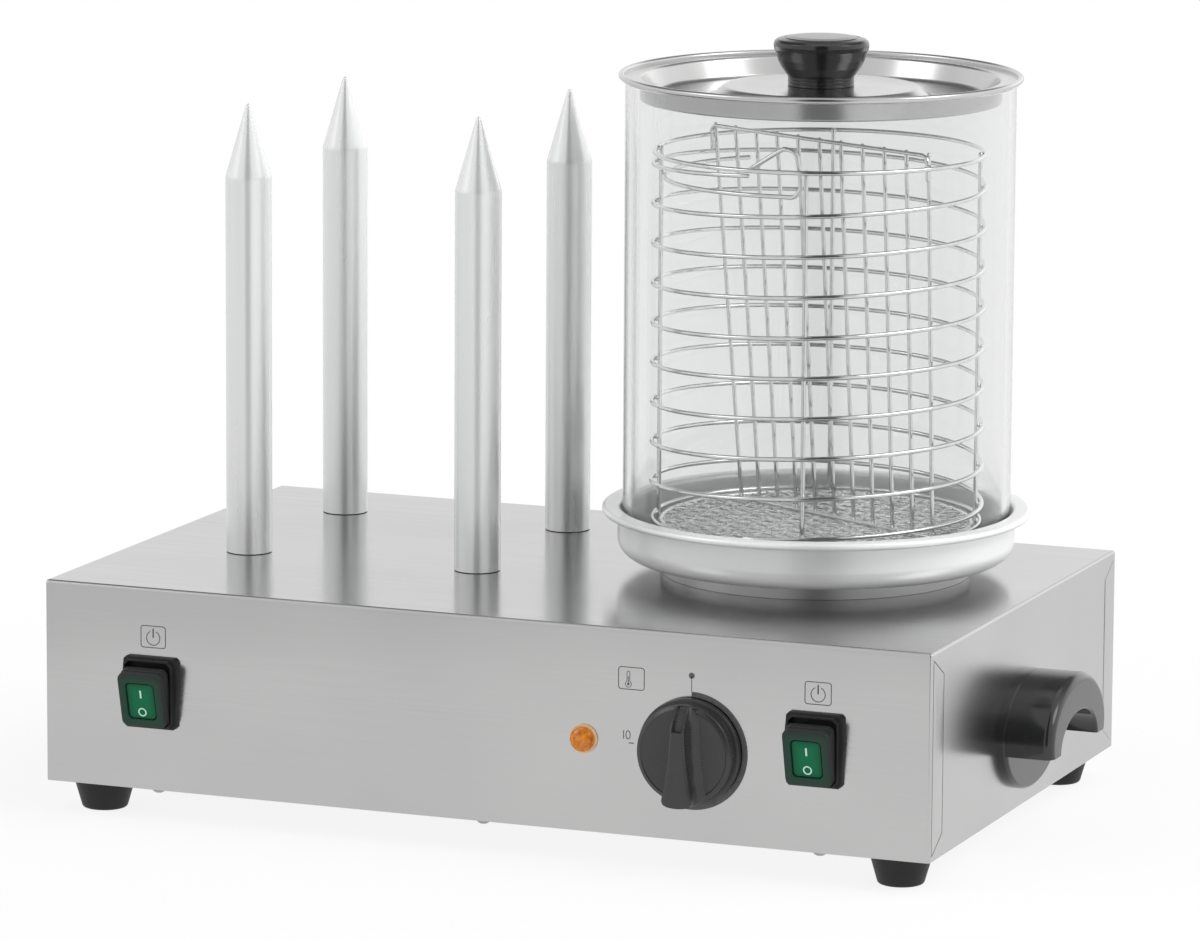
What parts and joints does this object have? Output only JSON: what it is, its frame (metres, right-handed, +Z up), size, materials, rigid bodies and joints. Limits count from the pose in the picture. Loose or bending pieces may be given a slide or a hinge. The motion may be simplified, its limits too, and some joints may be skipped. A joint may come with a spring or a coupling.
{
  "type": "hot dog maker",
  "caption": "Countertop hot dog maker: steel housing with heated bun spikes, rocker switches and a thermostat knob, and a lift-off steamer of pan, glass, wire basket and lid.",
  "frame": {"origin": "on the table under the middle of the whole maker", "axes": "+Z up, the controls face -Y, +X to the right as seen from the controls"},
  "size_m": [0.538, 0.338, 0.3993],
  "materials": {
    "housing_steel": "brushed",
    "rubber": "matte",
    "black_plastic": "satin",
    "spike_aluminium": "turned",
    "pan_aluminium": "satin",
    "polished_steel": "polished",
    "basket_wire": "bright",
    "clear_glass": "clear",
    "amber_lens": "translucent",
    "green_lens": "translucent",
    "pale_plastic": "moulded",
    "copper": "drawn",
    "zinc_fasteners": "zinc plated"
  },
  "bodies": {
    "housing": {"housing_shell": "housing_steel", "base_plate": "housing_steel", "base_screws": "zinc_fasteners", "foot_front_left": "rubber", "foot_front_right": "rubber", "foot_back_left": "rubber", "foot_back_right": "rubber", "foot_screws": "zinc_fasteners", "foot_nuts": "zinc_fasteners", "handle_left": "black_plastic", "handle_right": "black_plastic", "handle_screws": "zinc_fasteners", "cable_gland": "black_plastic", "gland_nut": "black_plastic", "spike_front_left": "spike_aluminium", "spike_front_right": "spike_aluminium", "spike_back_left": "spike_aluminium", "spike_back_right": "spike_aluminium", "cartridge_front_left": "zinc_fasteners", "cartridge_front_right": "zinc_fasteners", "cartridge_back_left": "zinc_fasteners", "cartridge_back_right": "zinc_fasteners", "spike_seals": "rubber", "spike_washers": "zinc_fasteners", "spike_nuts": "zinc_fasteners", "heating_plate": "polished_steel", "heating_element": "zinc_fasteners", "heat_shield": "housing_steel", "shield_nut": "zinc_fasteners", "temperature_sensor": "copper", "thermostat": "pale_plastic", "thermostat_screws": "zinc_fasteners", "lamp_lens": "amber_lens", "lamp_body": "pale_plastic", "switch_frame_left": "rubber", "switch_frame_right": "rubber", "switch_body_left": "black_plastic", "switch_body_right": "black_plastic", "terminal_block": "pale_plastic", "terminal_screws": "zinc_fasteners"},
    "knob": {"control_knob": "black_plastic", "thermostat_shaft": "zinc_fasteners"},
    "left_rocker": {"rocker_left": "green_lens"},
    "right_rocker": {"rocker_right": "green_lens"},
    "pan": {"water_pan": "pan_aluminium"},
    "glass": {"glass_cylinder": "clear_glass"},
    "basket": {"basket_top_ring": "basket_wire", "basket_coil": "basket_wire", "basket_bottom_ring": "basket_wire", "basket_uprights": "basket_wire", "basket_divider": "basket_wire", "basket_handle": "basket_wire", "basket_floor": "basket_wire"},
    "lid": {"lid_shell": "polished_steel", "lid_knob": "black_plastic", "lid_screw": "zinc_fasteners"}
  },
  "joints": [
    {"name": "knob_turn", "type": "hinge", "parent": "housing", "child": "knob", "pos_m": [0.1145, -0.148, 0.0625], "axis": [0, 1, 0], "range_deg": [0, 270]},
    {"name": "left_rocker_tip", "type": "hinge", "parent": "housing", "child": "left_rocker", "pos_m": [-0.18, -0.151, 0.0688], "axis": [-1, 0, 0], "range_deg": [0, 24]},
    {"name": "right_rocker_tip", "type": "hinge", "parent": "housing", "child": "right_rocker", "pos_m": [0.18, -0.151, 0.0688], "axis": [-1, 0, 0], "range_deg": [0, 24]},
    {"name": "pan_lift", "type": "slide", "parent": "housing", "child": "pan", "axis": [0, 0, 1], "range_m": [0, 0.06]},
    {"name": "glass_lift", "type": "slide", "parent": "pan", "child": "glass", "axis": [0, 0, 1], "range_m": [0, 0.26]},
    {"name": "basket_lift", "type": "slide", "parent": "glass", "child": "basket", "axis": [0, 0, 1], "range_m": [0, 0.25]},
    {"name": "lid_lift", "type": "slide", "parent": "basket", "child": "lid", "axis": [0, 0, 1], "range_m": [0, 0.1]}
  ]
}
